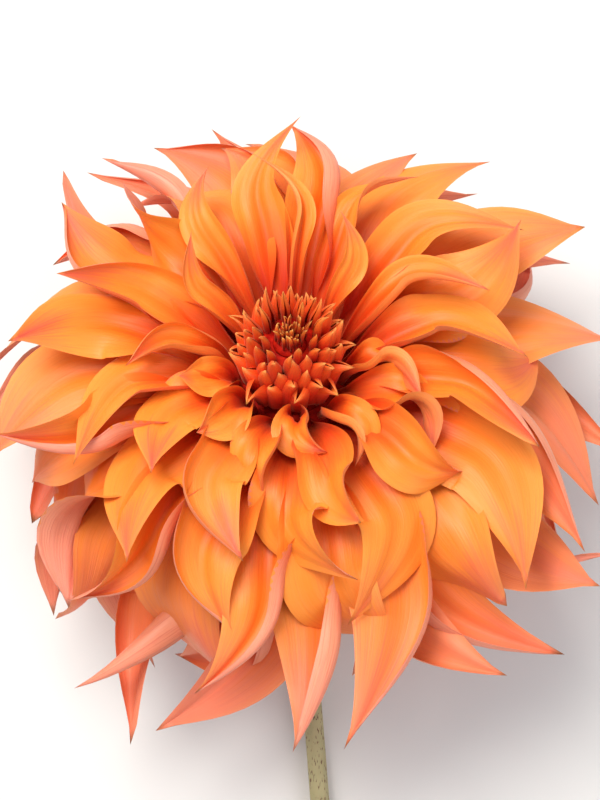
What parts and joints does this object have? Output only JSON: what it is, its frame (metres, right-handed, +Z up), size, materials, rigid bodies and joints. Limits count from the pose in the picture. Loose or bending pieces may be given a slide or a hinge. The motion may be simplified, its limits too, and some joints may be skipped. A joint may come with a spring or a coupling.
{
  "type": "dahlia flower",
  "caption": "Large orange double dahlia bloom with broad twisted petals and a rolled centre cone, cut with a bent stem and laid on its back.",
  "frame": {"origin": "middle of the bounding box, on the surface the flower lies on", "axes": "+Z up from that surface; the stem runs along it towards -Y; the bloom faces up and leans 20 degrees from +Z towards +Y"},
  "size_m": [0.2737, 0.4049, 0.1317],
  "materials": {
    "ray_florets": "soft satin petal: golden orange on the face, red-orange at the base, salmon pink on the back",
    "centre_florets": "satin, rolled young petals, deep red-orange with paler orange tips",
    "disc_florets": "satin, tight buds, dark red with golden tips",
    "calyx": "fleshy green bracts, satin, with paler margins",
    "stem": "khaki olive green stalk, satin, with fine dark red-brown specks and a pale pithy cut end"
  },
  "bodies": {
    "root": {"ray_florets": "ray_florets", "centre_florets": "centre_florets", "disc_florets": "disc_florets", "calyx": "calyx", "stem": "stem"}
  },
  "joints": []
}
